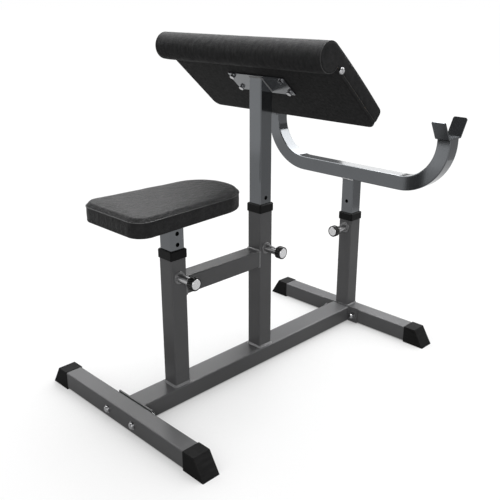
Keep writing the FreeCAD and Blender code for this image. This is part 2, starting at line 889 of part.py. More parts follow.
def arm_bolts():
    low = plate_low - arm_washer_thickness
    head = hexagon_bar(screw_head_flats, low - screw_head_height, low)
    bolt = head.fuse(rod(arm_bolt_diameter, low, cover_low + arm_bolt_depth))
    copies = [laid(bolt, vec(x, y, 0), UP) for x, y in arm_bolt_places()]
    return on_pad(Part.makeCompound(copies))


def arm_washers():
    hole = arm_bolt_diameter + bolt_clearance + bolt_clearance
    drawn = washer(arm_washer_diameter, hole, plate_low - arm_washer_thickness, plate_low)
    copies = [laid(drawn, vec(x, y, 0), UP) for x, y in arm_bolt_places()]
    return on_pad(Part.makeCompound(copies))


def side_bolt_holes():
    """The two holes along the seam between cushion and board, one at each end of the pad."""
    deep = side_bolt_depth + thread_gap
    drawn = rod(side_bolt_diameter + thread_gap + thread_gap, -deep, overrun)
    holes = []
    for side, turn in ((-1, TO_RIGHT), (1, TO_LEFT)):
        holes.append(laid(drawn, vec(side_bolt_from_roll, side * pad_half, pad_seat_offset), turn))
    return Part.makeCompound(holes)


def arm_side_bolts():
    head = domed_rod(side_bolt_head_diameter, 0, side_bolt_head_height)
    bolt = head.fuse(rod(side_bolt_diameter, -side_bolt_depth, 0))
    copies = []
    for side, turn in ((-1, TO_RIGHT), (1, TO_LEFT)):
        copies.append(laid(bolt, vec(side_bolt_from_roll, side * pad_half, pad_seat_offset), turn))
    return on_pad(Part.makeCompound(copies))


# Bar rest

def rest_tube():
    """The bar rest's tube: even holes inside the post, and a single one that stands above the collar."""
    plain = slide_tube(rest_x, rest_pin_height, rest_holes_below_count, yoke_underside)
    top_hole = rest_pin_place() + vec(0, 0, rest_top_hole_count * hole_pitch)
    shape = plain.cut(pin_hole(top_hole, TO_FRONT))
    return with_holes(shape, rest_pin_place(), TO_FRONT, rest_holes_below_count, rest_holes_above_count)


def yoke_bar(side, corner, extra):
    """The yoke's U as a solid bar of square section; extra lengthens both arms."""
    middle = yoke_underside + slide_side / 2
    bend_y = yoke_half_width - yoke_bend
    bend_z = middle + yoke_bend
    slant = yoke_bend * math.sqrt(0.5)
    top = bend_z + yoke_arm + extra
    path = Part.Wire([
        Part.LineSegment(vec(0, -yoke_half_width, top), vec(0, -yoke_half_width, bend_z)).toShape(),
        Part.Arc(
            vec(0, -yoke_half_width, bend_z),
            vec(0, -bend_y - slant, bend_z - slant),
            vec(0, -bend_y, middle),
        ).toShape(),
        Part.LineSegment(vec(0, -bend_y, middle), vec(0, bend_y, middle)).toShape(),
        Part.Arc(
            vec(0, bend_y, middle),
            vec(0, bend_y + slant, bend_z - slant),
            vec(0, yoke_half_width, bend_z),
        ).toShape(),
        Part.LineSegment(vec(0, yoke_half_width, bend_z), vec(0, yoke_half_width, top)).toShape(),
    ])
    section = rectangle_outline(side, side, corner, top)
    section.translate(vec(0, -yoke_half_width, 0))
    return laid(path.makePipeShell([section], True, False), vec(rest_x, 0, 0), UP)


def yoke():
    hollow = yoke_bar(slide_side - slide_wall - slide_wall, slide_corner - slide_wall, overrun)
    return yoke_bar(slide_side, slide_corner, 0).cut(hollow)


def rest_weld():
    bead = laid(
        weld_ring(slide_side, slide_side, slide_corner, slide_weld),
        vec(rest_x, 0, yoke_underside),
        UP,
    )
    return bead.cut(yoke_bar(slide_side, slide_corner, 0))


def hook(side):
    """A bent plate with two flanges that lean apart, welded on top of one arm of the yoke."""
    half = hook_base / 2
    inner = half - hook_thickness * (1 - math.sin(lean)) / math.cos(lean)
    outer_top = vec(hook_reach, 0, hook_flange * math.cos(lean))
    inner_top = outer_top + vec(-hook_thickness * math.cos(lean), 0, hook_thickness * math.sin(lean))
    right = [vec(half, 0, 0), outer_top, inner_top, vec(inner, 0, hook_thickness)]
    left = [vec(-point.x, 0, point.z) for point in reversed(right)]
    outline = right + left
    plate = Part.Face(Part.makePolygon(outline + outline[:1])).extrude(vec(0, slide_side, 0))
    nearness = overrun / 1000
    bends = []
    ends = []
    for edge in plate.Edges:
        points = [vertex.Point for vertex in edge.Vertexes]
        across = abs(points[0].y - points[1].y) > nearness
        highest = max(point.z for point in points)
        if across and highest < nearness:
            bends.append(edge)
        if not across and edge.Length < hook_thickness + nearness and highest > hook_height / 2:
            ends.append(edge)
    plate = plate.makeFillet(hook_bend, bends)
    corners = []
    for edge in plate.Edges:
        for end in ends:
            if edge.CenterOfMass.distanceToPoint(end.CenterOfMass) < nearness:
                corners.append(edge)
    plate = plate.makeFillet(hook_round, corners)
    place = vec(rest_x, side * yoke_half_width - slide_side / 2, yoke_arm_top)
    return laid(plate, place, UP)


def left_hook():
    return hook(1)


def right_hook():
    return hook(-1)


SINGLE_PIECES = (
    main_beam,
    front_flange_plate,
    rear_flange_plate,
    front_crossbar,
    rear_crossbar,
    seat_post,
    arm_post,
    rest_post,
    tie_tube,
    frame_welds,
    foot_cap_front_left,
    foot_cap_front_right,
    foot_cap_rear_left,
    foot_cap_rear_right,
    seat_collar,
    arm_collar,
    rest_collar,
    crossbar_bolts,
    crossbar_washers,
    crossbar_nuts,
    seat_tube,
    seat_plate,
    seat_weld,
    seat_board,
    seat_cushion,
    seat_screws,
    arm_tube,
    arm_plate,
    arm_weld,
    arm_board,
    arm_back_cover,
    arm_cushion,
    arm_bolts,
    arm_washers,
    arm_side_bolts,
    rest_tube,
    yoke,
    rest_weld,
    left_hook,
    right_hook,
)


def spring_gap():
    """The least gap between two turns of a pin's spring, measured on the points of its middle line."""
    points = spring_points()
    per_turn = (len(points) - 1) // spring_turns
    gaps = []
    for index in range(len(points) - per_turn):
        gaps.append((points[index + per_turn] - points[index]).Length)
    return min(gaps) - spring_wire


def build():
    pieces = {}
    for make in SINGLE_PIECES:
        pieces[make.__name__] = make()
    pieces.update(pin_pieces("seat", seat_pin_place(), TO_RIGHT))
    pieces.update(pin_pieces("arm", arm_pin_place(), TO_RIGHT))
    pieces.update(pin_pieces("rest", rest_pin_place(), TO_FRONT))
    os.makedirs("parts", exist_ok=True)
    for name, shape in pieces.items():
        shape.exportStep("parts/" + name + ".step")
        print(name, len(shape.Solids), shape.isValid(), round(shape.Volume))
    print("least gap between spring turns", round(spring_gap(), 2))


build()
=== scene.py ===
import json
import math

import bmesh
import bpy
from mathutils import Matrix, Vector, noise
from mathutils.kdtree import KDTree

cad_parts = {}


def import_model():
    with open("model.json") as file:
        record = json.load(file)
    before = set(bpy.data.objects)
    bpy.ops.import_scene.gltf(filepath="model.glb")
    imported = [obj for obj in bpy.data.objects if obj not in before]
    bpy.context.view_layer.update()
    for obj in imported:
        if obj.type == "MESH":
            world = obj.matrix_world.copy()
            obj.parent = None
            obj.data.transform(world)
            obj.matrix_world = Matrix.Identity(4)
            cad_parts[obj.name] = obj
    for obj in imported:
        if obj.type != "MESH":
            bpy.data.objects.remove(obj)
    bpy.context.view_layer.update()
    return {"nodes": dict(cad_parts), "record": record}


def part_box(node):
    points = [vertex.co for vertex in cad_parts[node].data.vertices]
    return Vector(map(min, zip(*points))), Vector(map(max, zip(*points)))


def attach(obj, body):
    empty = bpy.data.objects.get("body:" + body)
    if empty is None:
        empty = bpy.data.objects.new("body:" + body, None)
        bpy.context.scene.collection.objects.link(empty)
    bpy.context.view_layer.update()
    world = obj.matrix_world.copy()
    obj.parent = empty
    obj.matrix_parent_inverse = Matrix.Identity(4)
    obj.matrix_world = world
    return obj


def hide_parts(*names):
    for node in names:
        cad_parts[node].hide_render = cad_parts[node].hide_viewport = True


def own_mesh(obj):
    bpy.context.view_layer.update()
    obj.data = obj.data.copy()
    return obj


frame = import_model()
nodes = frame["nodes"]
scene = bpy.context.scene

MM = 0.001
UP = Vector((0.0, 0.0, 1.0))
QUARTER = math.pi / 2


# Node helpers

def new_material(name):
    """A node material with its tree, its principled shader and the place on the object."""
    mat = bpy.data.materials.new(name)
    mat.use_nodes = True
    tree = mat.node_tree
    shader = tree.nodes["Principled BSDF"]
    coord = tree.nodes.new("ShaderNodeTexCoord")
    return mat, tree, shader, coord.outputs["Object"]


def stretched(tree, vector, scale):
    """The coordinate, stretched by a scale along each axis."""
    node = tree.nodes.new("ShaderNodeMapping")
    node.inputs["Scale"].default_value = scale
    tree.links.new(vector, node.inputs["Vector"])
    return node.outputs["Vector"]


def noise_of(tree, vector, scale, detail, rough=0.55):
    node = tree.nodes.new("ShaderNodeTexNoise")
    node.inputs["Scale"].default_value = scale
    node.inputs["Detail"].default_value = detail
    node.inputs["Roughness"].default_value = rough
    tree.links.new(vector, node.inputs["Vector"])
    return node.outputs["Fac"]


def cells_of(tree, vector, scale):
    """The distance to the middle of the nearest of many small cells."""
    node = tree.nodes.new("ShaderNodeTexVoronoi")
    node.inputs["Scale"].default_value = scale
    tree.links.new(vector, node.inputs["Vector"])
    return node.outputs["Distance"]


def ramp(tree, value, start, end, low=0.3, high=0.7):
    """A number that goes from start to end as the value goes from low to high."""
    node = tree.nodes.new("ShaderNodeMapRange")
    node.inputs["From Min"].default_value = low
    node.inputs["From Max"].default_value = high
    node.inputs["To Min"].default_value = start
    node.inputs["To Max"].default_value = end
    tree.links.new(value, node.inputs["Value"])
    return node.outputs["Result"]


def shade(tree, value, dark, light, low=0.3, high=0.7):
    """A colour that goes from dark to light as the value goes from low to high."""
    node = tree.nodes.new("ShaderNodeValToRGB")
    node.color_ramp.elements[0].position = low
    node.color_ramp.elements[1].position = high
    node.color_ramp.elements[0].color = (*dark, 1.0)
    node.color_ramp.elements[1].color = (*light, 1.0)
    tree.links.new(value, node.inputs["Fac"])
    return node.outputs["Color"]


def bumped(tree, height, strength, depth, under=None):
    """The normal of a surface with bumps of a depth, over the bumps under it if there are any."""
    node = tree.nodes.new("ShaderNodeBump")
    node.inputs["Strength"].default_value = strength
    node.inputs["Distance"].default_value = depth
    tree.links.new(height, node.inputs["Height"])
    if under is not None:
        tree.links.new(under, node.inputs["Normal"])
    return node.outputs["Normal"]


def combined(tree, operation, first, second):
    """Two numbers, put together by the operation that is named."""
    node = tree.nodes.new("ShaderNodeMath")
    node.operation = operation
    tree.links.new(first, node.inputs[0])
    tree.links.new(second, node.inputs[1])
    return node.outputs[0]


def join(tree, shader, colour, rough, normal):
    """Joins a finish to its shader."""
    tree.links.new(colour, shader.inputs["Base Color"])
    tree.links.new(rough, shader.inputs["Roughness"])
    tree.links.new(normal, shader.inputs["Normal"])


def tinted(colour, factor):
    return tuple(min(1.0, c * factor) for c in colour)


# Materials

CHARCOAL = (0.114, 0.114, 0.1165)
# The weld grey is the frame's paint made lighter: a painted highlight along the weld beads.
WELD_HIGHLIGHT_GREY = tinted(CHARCOAL, 1.6)
STEEL_GREY = (0.114, 0.1195, 0.126)
HOOK_GREY = tinted(STEEL_GREY, 0.8)
PLATE_GREY = (0.15, 0.155, 0.162)
BLACK = (0.0042, 0.0042, 0.0043)
COLLAR_BLACK = tinted(BLACK, 1.4)
CAP_BLACK = (0.015, 0.015, 0.0152)
CHROME = (0.42, 0.42, 0.43)
BARREL_DARK = (0.34, 0.34, 0.345)
BARREL_LIGHT = (0.44, 0.44, 0.445)
STEEL = (0.55, 0.55, 0.56)
SILVER = (0.64, 0.64, 0.65)
VINYL = (0.025, 0.025, 0.0254)
# The arm pad's vinyl is the seat's vinyl made lighter: painted light that lifts the pad's shaded sides.
PAD_BLACK_PAINTED_LIGHT = tinted(VINYL, 1.25)
# The welt grey is the vinyl made about twice as light: a painted highlight along the piping of the seams.
WELT_HIGHLIGHT_GREY = tinted(VINYL, 2.1)
BACK_BLACK = tinted(VINYL, 0.8)
WOOD_DARK = (0.34, 0.22, 0.12)
WOOD_LIGHT = (0.55, 0.40, 0.25)
SEAT_FOLDS = (60.0, 85.0, 70.0)
PAD_FOLDS = (50.0, 90.0, 50.0)
WELT_FOLDS = (300.0, 300.0, 300.0)
BACK_FOLDS = (120.0, 120.0, 120.0)
RING_START = 2.3 * MM
RING_END = 3.1 * MM


def powder_coat(name, colour, rough, level, peel, metal=0.0):
    """Sprayed paint: a faint orange peel, slow changes of tone and a little dust in the gloss."""
    mat, tree, shader, place = new_material(name)
    slow = noise_of(tree, place, scale=7.0, detail=3.0)
    fine = noise_of(tree, place, scale=380.0, detail=2.0)
    dust = noise_of(tree, place, scale=31.0, detail=5.0)
    tone = shade(tree, slow, tinted(colour, 0.96), tinted(colour, 1.04))
    gloss = ramp(tree, dust, rough * 0.95, rough * 1.08)
    join(tree, shader, tone, gloss, bumped(tree, fine, strength=peel, depth=0.3 * MM))
    shader.inputs["Specular IOR Level"].default_value = level
    shader.inputs["Metallic"].default_value = metal
    return mat


def weld_paint(name, colour):
    """Paint over the ripples of a weld bead; the colour given is lighter than the frame's paint, a painted
    highlight along the bead.
    """
    mat, tree, shader, place = new_material(name)
    ripples = cells_of(tree, place, scale=260.0)
    fine = noise_of(tree, place, scale=300.0, detail=3.0)
    tone = shade(tree, fine, tinted(colour, 0.85), tinted(colour, 1.3))
    gloss = ramp(tree, ripples, 0.22, 0.4, low=0.0, high=0.8)
    join(tree, shader, tone, gloss, bumped(tree, ripples, strength=0.6, depth=1.6 * MM))
    return mat


def moulded_plastic(name, colour, rough, level, grain):
    """Black moulded plastic: a fine spark-eroded grain and faint flow marks."""
    mat, tree, shader, place = new_material(name)
    fine = noise_of(tree, place, scale=grain, detail=3.0)
    flow = noise_of(tree, stretched(tree, place, (1.0, 1.0, 4.0)), scale=30.0, detail=3.0)
    tone = shade(tree, flow, tinted(colour, 0.8), tinted(colour, 1.4), high=0.75)
    gloss = ramp(tree, flow, rough * 0.85, rough * 1.15, low=0.25, high=0.75)
    join(tree, shader, tone, gloss, bumped(tree, fine, strength=0.3, depth=0.4 * MM))
    shader.inputs["Specular IOR Level"].default_value = level
    return mat


def plated_metal(name, colour, rough, marks):
    """Plated or ground metal with fine tool marks and a little tarnish."""
    mat, tree, shader, place = new_material(name)
    fine = noise_of(tree, place, scale=marks, detail=3.0)
    stain = noise_of(tree, place, scale=60.0, detail=4.0)
    tone = shade(tree, stain, tinted(colour, 0.85), colour)
    gloss = ramp(tree, fine, rough * 0.7, rough * 1.4, low=0.25, high=0.75)
    join(tree, shader, tone, gloss, bumped(tree, fine, strength=0.12, depth=0.3 * MM))
    shader.inputs["Metallic"].default_value = 1.0
    return mat


def vinyl(name, colour, rough, level, folds, depth):
    """Grained vinyl: small pebbles over creases, with a little more sheen on the high spots; the colour is
    darker in the low of the creases and lighter on their crests, painted shade and painted highlight.
    """
    mat, tree, shader, place = new_material(name)
    pebbles = cells_of(tree, place, scale=420.0)
    creases = noise_of(tree, stretched(tree, place, folds), scale=1.0, detail=6.0, rough=0.68)
    # The colour follows the creases: painted shade where they are low, painted highlight where they are
    # high.
    tone = shade(tree, creases, tinted(colour, 0.8), tinted(colour, 1.25), low=0.34, high=0.68)
    gloss = ramp(tree, creases, rough * 1.1, rough * 0.9, low=0.32, high=0.7)
    crumpled = bumped(tree, creases, strength=0.8, depth=depth)
    grained = bumped(tree, pebbles, strength=0.4, depth=0.5 * MM, under=crumpled)
    join(tree, shader, tone, gloss, grained)
    shader.inputs["Specular IOR Level"].default_value = level
    return mat


def pin_body(name, axis, face):
    """A pull pin's barrel: turned metal, with the welded ring at the post's face in the frame's paint."""
    mat, tree, shader, place = new_material(name)
    parts = tree.nodes.new("ShaderNodeSeparateXYZ")
    tree.links.new(place, parts.inputs["Vector"])
    past_ring = ramp(tree, parts.outputs[axis], 1.0, 0.0, low=face - RING_END, high=face - RING_START)
    marks = noise_of(tree, place, scale=420.0, detail=3.0)
    tone = tree.nodes.new("ShaderNodeMix")
    tone.data_type = "RGBA"
    tree.links.new(past_ring, tone.inputs["Factor"])
    tone.inputs["A"].default_value = (*CHARCOAL, 1.0)
    tree.links.new(shade(tree, marks, BARREL_DARK, BARREL_LIGHT), tone.inputs["B"])
    gloss = ramp(tree, marks, 0.28, 0.42)
    turned = bumped(tree, marks, strength=0.15, depth=0.3 * MM)
    join(tree, shader, tone.outputs["Result"], gloss, turned)
    tree.links.new(past_ring, shader.inputs["Metallic"])
    return mat


def plywood(name):
    """Bare plywood: long grain, darker pores."""
    mat, tree, shader, place = new_material(name)
    grain = noise_of(tree, stretched(tree, place, (6.0, 90.0, 90.0)), scale=1.0, detail=8.0, rough=0.6)
    pores = noise_of(tree, stretched(tree, place, (30.0, 700.0, 700.0)), scale=1.0, detail=3.0)
    tone = shade(tree, grain, WOOD_DARK, WOOD_LIGHT)
    gloss = ramp(tree, pores, 0.55, 0.75)
    join(tree, shader, tone, gloss, bumped(tree, pores, strength=0.3, depth=0.4 * MM))
    return mat


def spun_disc(name, colour):
    """A plain metal disc with the faint marks of a lathe."""
    mat, tree, shader, place = new_material(name)
    marks = noise_of(tree, place, scale=260.0, detail=3.0)
    fine = noise_of(tree, place, scale=900.0, detail=2.0)
    tone = shade(tree, marks, tinted(colour, 0.9), colour)
    gloss = ramp(tree, fine, 0.2, 0.34)
    join(tree, shader, tone, gloss, bumped(tree, fine, strength=0.1, depth=0.2 * MM))
    shader.inputs["Metallic"].default_value = 1.0
    return mat


MATERIALS = {
    "frame_paint": powder_coat("frame_paint", CHARCOAL, rough=0.25, level=0.16, peel=0.04),
    "weld_paint": weld_paint("weld_paint", WELD_HIGHLIGHT_GREY),
    "slide_paint": powder_coat("slide_paint", STEEL_GREY, rough=0.1, level=0.5, peel=0.015, metal=0.8),
    "plate_paint": powder_coat("plate_paint", PLATE_GREY, rough=0.16, level=0.5, peel=0.05, metal=0.85),
    "hook_paint": powder_coat("hook_paint", HOOK_GREY, rough=0.14, level=0.5, peel=0.02, metal=0.95),
    "cap_plastic": moulded_plastic("cap_plastic", CAP_BLACK, rough=0.65, level=0.04, grain=900.0),
    "collar_plastic": moulded_plastic("collar_plastic", COLLAR_BLACK, rough=0.42, level=0.08, grain=1100.0),
    "knob_plastic": moulded_plastic("knob_plastic", BLACK, rough=0.3, level=0.25, grain=1300.0),
    "fastener_chrome": plated_metal("fastener_chrome", CHROME, rough=0.2, marks=260.0),
    "barrel_chrome": pin_body("barrel_chrome", "Y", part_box("seat_post")[0].y),
    "rest_barrel_chrome": pin_body("rest_barrel_chrome", "X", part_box("rest_post")[0].x),
    "pin_steel": plated_metal("pin_steel", STEEL, rough=0.25, marks=400.0),
    "badge_metal": spun_disc("badge_metal", SILVER),
    "cushion_vinyl": vinyl("cushion_vinyl", VINYL, rough=0.38, level=0.06, folds=SEAT_FOLDS, depth=5 * MM),
    # The pad vinyl is lighter than the seat's: painted light on the pad's shaded sides.
    "pad_vinyl": vinyl("pad_vinyl", PAD_BLACK_PAINTED_LIGHT, rough=0.66, level=0.04, folds=PAD_FOLDS, depth=3 * MM),
    # The welt vinyl carries the lighter grey, a painted highlight along the piping.
    "welt_vinyl": vinyl("welt_vinyl", WELT_HIGHLIGHT_GREY, rough=0.4, level=0.2, folds=WELT_FOLDS, depth=0.6 * MM),
    "back_vinyl": vinyl("back_vinyl", BACK_BLACK, rough=0.72, level=0.08, folds=BACK_FOLDS, depth=0.8 * MM),
    "board_wood": plywood("board_wood"),
}


def paint(obj, material):
    obj.data.materials.clear()
    obj.data.materials.append(MATERIALS[material])


for entry in frame["record"]["subparts"]:
    paint(nodes[entry["node"]], entry["material_slot"])
paint(nodes["rest_pin_barrel"], "rest_barrel_chrome")


# Mesh helpers

def steps(count):
    """Even steps from nought to one, both of them included."""
    return [k / count for k in range(count + 1)]


def mesh_object(name, points, faces):
    mesh = bpy.data.meshes.new(name)
    mesh.from_pydata([tuple(p) for p in points], [], faces)
    mesh.validate()
    obj = bpy.data.objects.new(name, mesh)
    scene.collection.objects.link(obj)
    return obj


def outward(obj):
    """Makes every face of a closed mesh point outwards."""
    work = bmesh.new()
    work.from_mesh(obj.data)
    bmesh.ops.recalc_face_normals(work, faces=work.faces)
    work.to_mesh(obj.data)
    work.free()


def rings_object(name, rings):
    """A closed skin through rings of points, all with the same number of points."""
    count = len(rings[0])
    last = (len(rings) - 1) * count
    points = [p for ring in rings for p in ring]
    faces = []
    for i in range(len(rings) - 1):
        for j in range(count):
            k = (j + 1) % count
            faces.append((i * count + j, i * count + k, (i + 1) * count + k, (i + 1) * count + j))
    faces.append(tuple(reversed(range(count))))
    faces.append(tuple(range(last, last + count)))
    obj = mesh_object(name, points, faces)
    outward(obj)
    return obj


def tube_object(name, path, radius, closed=True, sides=8):
    """A round bead along a closed path, or a wire along an open one."""
    count = len(path)
    last = count - 1
    points = []
    side = None
    for i in range(count):
        before = path[i - 1] if closed or i > 0 else path[0]
        after = path[(i + 1) % count] if closed or i < last else path[last]
        along = (after - before).normalized()
        side = side_of(along, side) if side else along.orthogonal().normalized()
        up = along.cross(side).normalized()
        for j in range(sides):
            angle = 2 * math.pi * j / sides
            points.append(path[i] + (side * math.cos(angle) + up * math.sin(angle)) * radius)
    faces = []
    for i in range(count if closed else last):
        n = (i + 1) % count
        for j in range(sides):
            k = (j + 1) % sides
            faces.append((i * sides + j, i * sides + k, n * sides + k, n * sides + j))
    if not closed:
        faces.append(tuple(range(sides)))
        faces.append(tuple(range(last * sides, count * sides)))
    obj = mesh_object(name, points, faces)
    outward(obj)
    return obj


def side_of(along, side):
    """The last side direction, made square to the new direction."""
    return (side - along * side.dot(along)).normalized()


def rounded_outline(corners, radii, arc, line):
    """Points of a flat outline with round corners: so many steps to each corner and each straight side."""
    count = len(corners)
    runs = []
    for i in range(count):
        p = Vector(corners[i])
        a = (Vector(corners[i - 1]) - p).normalized()
        b = (Vector(corners[(i + 1) % count]) - p).normalized()
        half = a.angle(b) / 2
        centre = p + (a + b).normalized() * (radii[i] / math.sin(half))
        start = p + a * (radii[i] / math.tan(half))
        end = p + b * (radii[i] / math.tan(half))
        first = math.atan2(start.y - centre.y, start.x - centre.x)
        turn = math.atan2(end.y - centre.y, end.x - centre.x) - first
        turn = (turn + math.pi) % (2 * math.pi) - math.pi
        angles = [first + turn * t for t in steps(arc)]
        runs.append([centre + Vector((math.cos(angle), math.sin(angle))) * radii[i] for angle in angles])
    points = []
    for i in range(count):
        points += runs[i]
        start, end = runs[i][-1], runs[(i + 1) % count][0]
        points += [start.lerp(end, t) for t in steps(line)[1:-1]]
    return points


# Soft pieces

CLOTH_FRAMES = 20
CLOTH_PRESSURE = 4.0
NEAR_POINTS = 12


def even_copy(shape, voxel):
    """A copy of a pad with an even mesh."""
    copy = shape.copy()
    copy.data = shape.data.copy()
    scene.collection.objects.link(copy)
    remesh = copy.modifiers.new("remesh", "REMESH")
    remesh.mode = "VOXEL"
    remesh.voxel_size = voxel
    made = bpy.data.meshes.new_from_object(copy.evaluated_get(bpy.context.evaluated_depsgraph_get()))
    copy.modifiers.clear()
    copy.data = made
    return copy


def blown_up(copy):
    """Where the points of a pad's copy go when it is blown up as cloth."""
    cloth = copy.modifiers.new("cloth", "CLOTH")
    cloth.settings.use_pressure = True
    cloth.settings.uniform_pressure_force = CLOTH_PRESSURE
    cloth.settings.effector_weights.gravity = 0.0
    cloth.settings.tension_stiffness = 25.0
    cloth.settings.compression_stiffness = 25.0
    cloth.settings.bending_stiffness = 2.0
    cloth.settings.mass = 0.4
    cloth.collision_settings.use_collision = False
    cloth.point_cache.frame_start = 1
    cloth.point_cache.frame_end = CLOTH_FRAMES
    for number in range(1, CLOTH_FRAMES + 1):
        scene.frame_set(number)
    blown = copy.evaluated_get(bpy.context.evaluated_depsgraph_get())
    goals = [v.co.copy() for v in blown.to_mesh().vertices]
    blown.to_mesh_clear()
    return goals


def swelling(shape, voxel):
    """A lookup of how far the cloth pushes each place of a pad."""
    copy = even_copy(shape, voxel)
    rest = [v.co.copy() for v in copy.data.vertices]
    goals = blown_up(copy)
    bpy.data.objects.remove(copy)
    scene.frame_set(1)
    places = KDTree(len(rest))
    for i, p in enumerate(rest):
        places.insert(p, i)
    places.balance()

    def push(point):
        total, weight = Vector(), 0.0
        for p, i, gap in places.find_n(point, NEAR_POINTS):
            share = 1 / (gap + voxel / 2)
            total += (goals[i] - rest[i]) * share
            weight += share
        return total / weight

    return push


def settle(pad, voxel, most):
    """Swells a pad by the cloth's push, at each point no further than most allows."""
    push = swelling(pad, voxel)
    for v in pad.data.vertices:
        step = push(v.co)
        limit = most(v.co)
        if step.length > limit:
            step = step * (limit / step.length)
        v.co += step


def ripple(place, finer):
    """A slow wave with a finer one of half its height over it."""
    return noise.noise(place) + 0.5 * noise.noise(place * finer)


def dress(piece, body, slot, material=None):
    """Gives a new piece its finish and its body."""
    for face in piece.data.polygons:
        face.use_smooth = True
    paint(piece, material or slot)
    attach(piece, body)


# Seat cushion

SEAT_LOW, SEAT_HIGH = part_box("seat_cushion")
SEAT_X = (SEAT_LOW.x + SEAT_HIGH.x) / 2
SEAT_LENGTH = 388.5 * MM
SEAT_BACK_WIDTH = 244.5 * MM
SEAT_FRONT_WIDTH = 199.5 * MM
SEAT_CORNER = 42 * MM
SEAT_NOSE = 98.3 * MM
SEAT_UNDER = 9 * MM
SEAT_FOOT = 4 * MM
SEAT_WALL = 39 * MM
WALL_INSET = 1 * MM
WALL_BOW = 0.7 * MM
WALL_TOP = SEAT_WALL - 2 * MM
SEAM_INSET = 1.4 * MM
SEAM_DEPTH = 1 * MM
SEAM_STEP = 0.6 * MM
BEVEL = 10 * MM
BEVEL_SHARES = (0.08, 0.16, 0.3, 0.45, 0.6, 0.7)
BEVEL_ROUND = 8 * MM
SEAT_MIDDLE = 40 * MM
EDGE_CROWN = 2.1 * MM
MIDDLE_CROWN = 0.9 * MM
TOP_RINGS = 16
SEAT_VOXEL = 5 * MM
WALL_SWELL = 0.8 * MM
SEAM_SWELL = 0.2 * MM
TOP_SWELL = 1.2 * MM
SWELL_SLOPE = 0.08
SEAM_BAND = 3 * MM
DENTS_ALONG = 40
DENTS_ACROSS = 55
DENT_LAYER = 0.3
DENT_DEPTH = 0.2 * MM
SEAT_WELT = 1.2 * MM


def seat_outline(inset, height, shrink=1.0):
    """The seat seen from above, drawn in by an inset, and then towards its middle by a share."""
    slope = math.atan((SEAT_BACK_WIDTH - SEAT_FRONT_WIDTH) / 2 / SEAT_LENGTH)
    back = -SEAT_LENGTH / 2 + inset
    front = SEAT_LENGTH / 2 - inset
    back_half = SEAT_BACK_WIDTH / 2 - inset / math.cos(slope) + inset * math.tan(slope)
    front_half = SEAT_FRONT_WIDTH / 2 - inset / math.cos(slope) - inset * math.tan(slope)
    corners = [(back, -back_half), (front, -front_half), (front, front_half), (back, back_half)]
    radii = (SEAT_CORNER - inset, SEAT_NOSE - inset, SEAT_NOSE - inset, SEAT_CORNER - inset)
    flat = rounded_outline(corners, radii, arc=16, line=40)
    return [Vector((SEAT_X + p.x * shrink, p.y * shrink, SEAT_LOW.z + height)) for p in flat]


def seat_wall():
    """The edge of the underside and the bowed wall, as insets and heights."""
    points = [(SEAT_UNDER, 0.0), (SEAT_FOOT, 0.0)]
    for t in steps(5)[1:]:
        turn = QUARTER * t
        inset = SEAT_FOOT - (SEAT_FOOT - WALL_INSET) * math.sin(turn)
        points.append((inset, SEAT_FOOT - SEAT_FOOT * math.cos(turn)))
    for t in steps(8)[1:]:
        inset = WALL_INSET - WALL_BOW * math.sin(math.pi * t)
        points.append((inset, SEAT_FOOT + (WALL_TOP - SEAT_FOOT) * t))
    return points


def seat_seam():
    """The groove of the seam above the wall, as insets and heights."""
    deep = SEAM_INSET + SEAM_DEPTH
    low = [(SEAM_INSET, SEAT_WALL - 2 * SEAM_STEP), (deep, SEAT_WALL - SEAM_STEP)]
    return low + [(deep, SEAT_WALL), (SEAM_INSET, SEAT_WALL + SEAM_STEP)]


def seat_bevel():
    """The slanted edge above the seam and its turn into the top, as insets and heights."""
    low = SEAT_WALL + SEAM_STEP
    points = [(SEAM_INSET + (BEVEL - SEAM_INSET) * t, low + (BEVEL - SEAM_STEP) * t) for t in BEVEL_SHARES]
    inset, height = points[-1]
    slant = math.pi / 4
    for t in steps(6)[1:]:
        turn = slant * (1 - t)
        over = BEVEL_ROUND * (math.sin(slant) - math.sin(turn))
        rise = BEVEL_ROUND * (math.cos(turn) - math.cos(slant))
        points.append((inset + over, height + rise))
    return points


def seat_profile():
    """The seat from its underside to where the middle of its top begins, as insets and heights."""
    points = seat_wall() + seat_seam() + seat_bevel()
    inset, height = points[-1]
    for t in steps(7)[1:]:
        rise = EDGE_CROWN * math.sin(QUARTER * t)
        points.append((inset + (SEAT_MIDDLE - inset) * t, height + rise))
    return points


def seat_swell(point):
    """How far the seat may swell: nothing at its foot, little at its seam, most on its top."""
    rise = point.z - SEAT_LOW.z
    if rise < SEAT_FOOT:
        return 0.0
    if rise < SEAT_WALL - SEAM_BAND:
        return min(rise - SEAT_FOOT, WALL_SWELL)
    return min(TOP_SWELL, SEAM_SWELL + SWELL_SLOPE * max(0.0, rise - SEAT_WALL))


def seat_cushion():
    profile = seat_profile()
    rings = [seat_outline(inset, height) for inset, height in profile]
    edge = profile[-1][1]
    for k in range(1, TOP_RINGS):
        height = edge + MIDDLE_CROWN * math.sin(QUARTER * k / (TOP_RINGS - 1))
        rings.append(seat_outline(SEAT_MIDDLE, height, 1 - k / TOP_RINGS))
    pad = rings_object("seat_pad", rings)
    settle(pad, SEAT_VOXEL, seat_swell)
    for v in pad.data.vertices:
        if v.co.z > SEAT_LOW.z + SEAT_WALL + BEVEL - MM:
            place = Vector((v.co.x * DENTS_ALONG, v.co.y * DENTS_ACROSS, DENT_LAYER))
            v.co.z += ripple(place, finer=2.3) * DENT_DEPTH
    dress(pad, "seat", "cushion_vinyl")
    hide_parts("seat_cushion")
    welt = tube_object("seat_welt", seat_outline(SEAT_WELT, SEAT_WALL - SEAM_STEP), SEAT_WELT)
    dress(welt, "seat", "cushion_vinyl", "welt_vinyl")


# Arm pad, drawn in its own tilted frame: X down the slope, Z square to the face

